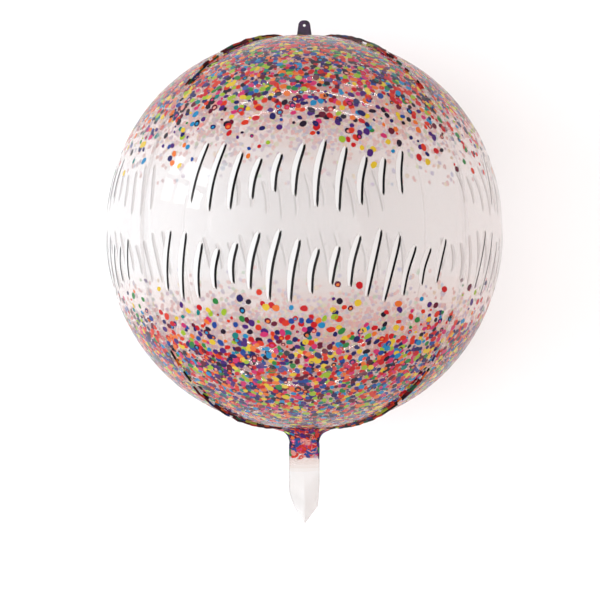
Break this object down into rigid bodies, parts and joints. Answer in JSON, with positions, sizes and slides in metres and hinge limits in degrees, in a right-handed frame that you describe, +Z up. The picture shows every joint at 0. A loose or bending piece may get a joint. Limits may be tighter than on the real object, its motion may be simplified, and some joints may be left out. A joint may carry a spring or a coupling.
{
  "type": "sphere foil balloon",
  "caption": "Round clear film balloon with printed confetti dots round both poles, a punched hanging tab and a flat filling tail, lying on its back.",
  "frame": {"origin": "centre of the small flat spot on the back panel, on which the balloon lies", "axes": "+Y along the ball's axis towards the hanging tab, +Z up through the middle of the front panel, +X to the right of the printed front"},
  "size_m": [0.3992, 0.5185, 0.3976],
  "materials": {
    "clear_film": "glossy clear film, printed with confetti dots",
    "printed_film": "glossy film, printed dark all over",
    "tail_film": "glossy clear film in several layers, printed at its root"
  },
  "bodies": {
    "root": {"front_panel": "clear_film", "right_panel": "clear_film", "back_panel": "clear_film", "left_panel": "clear_film", "hanging_tab": "printed_film", "filling_tail": "tail_film"}
  },
  "joints": []
}
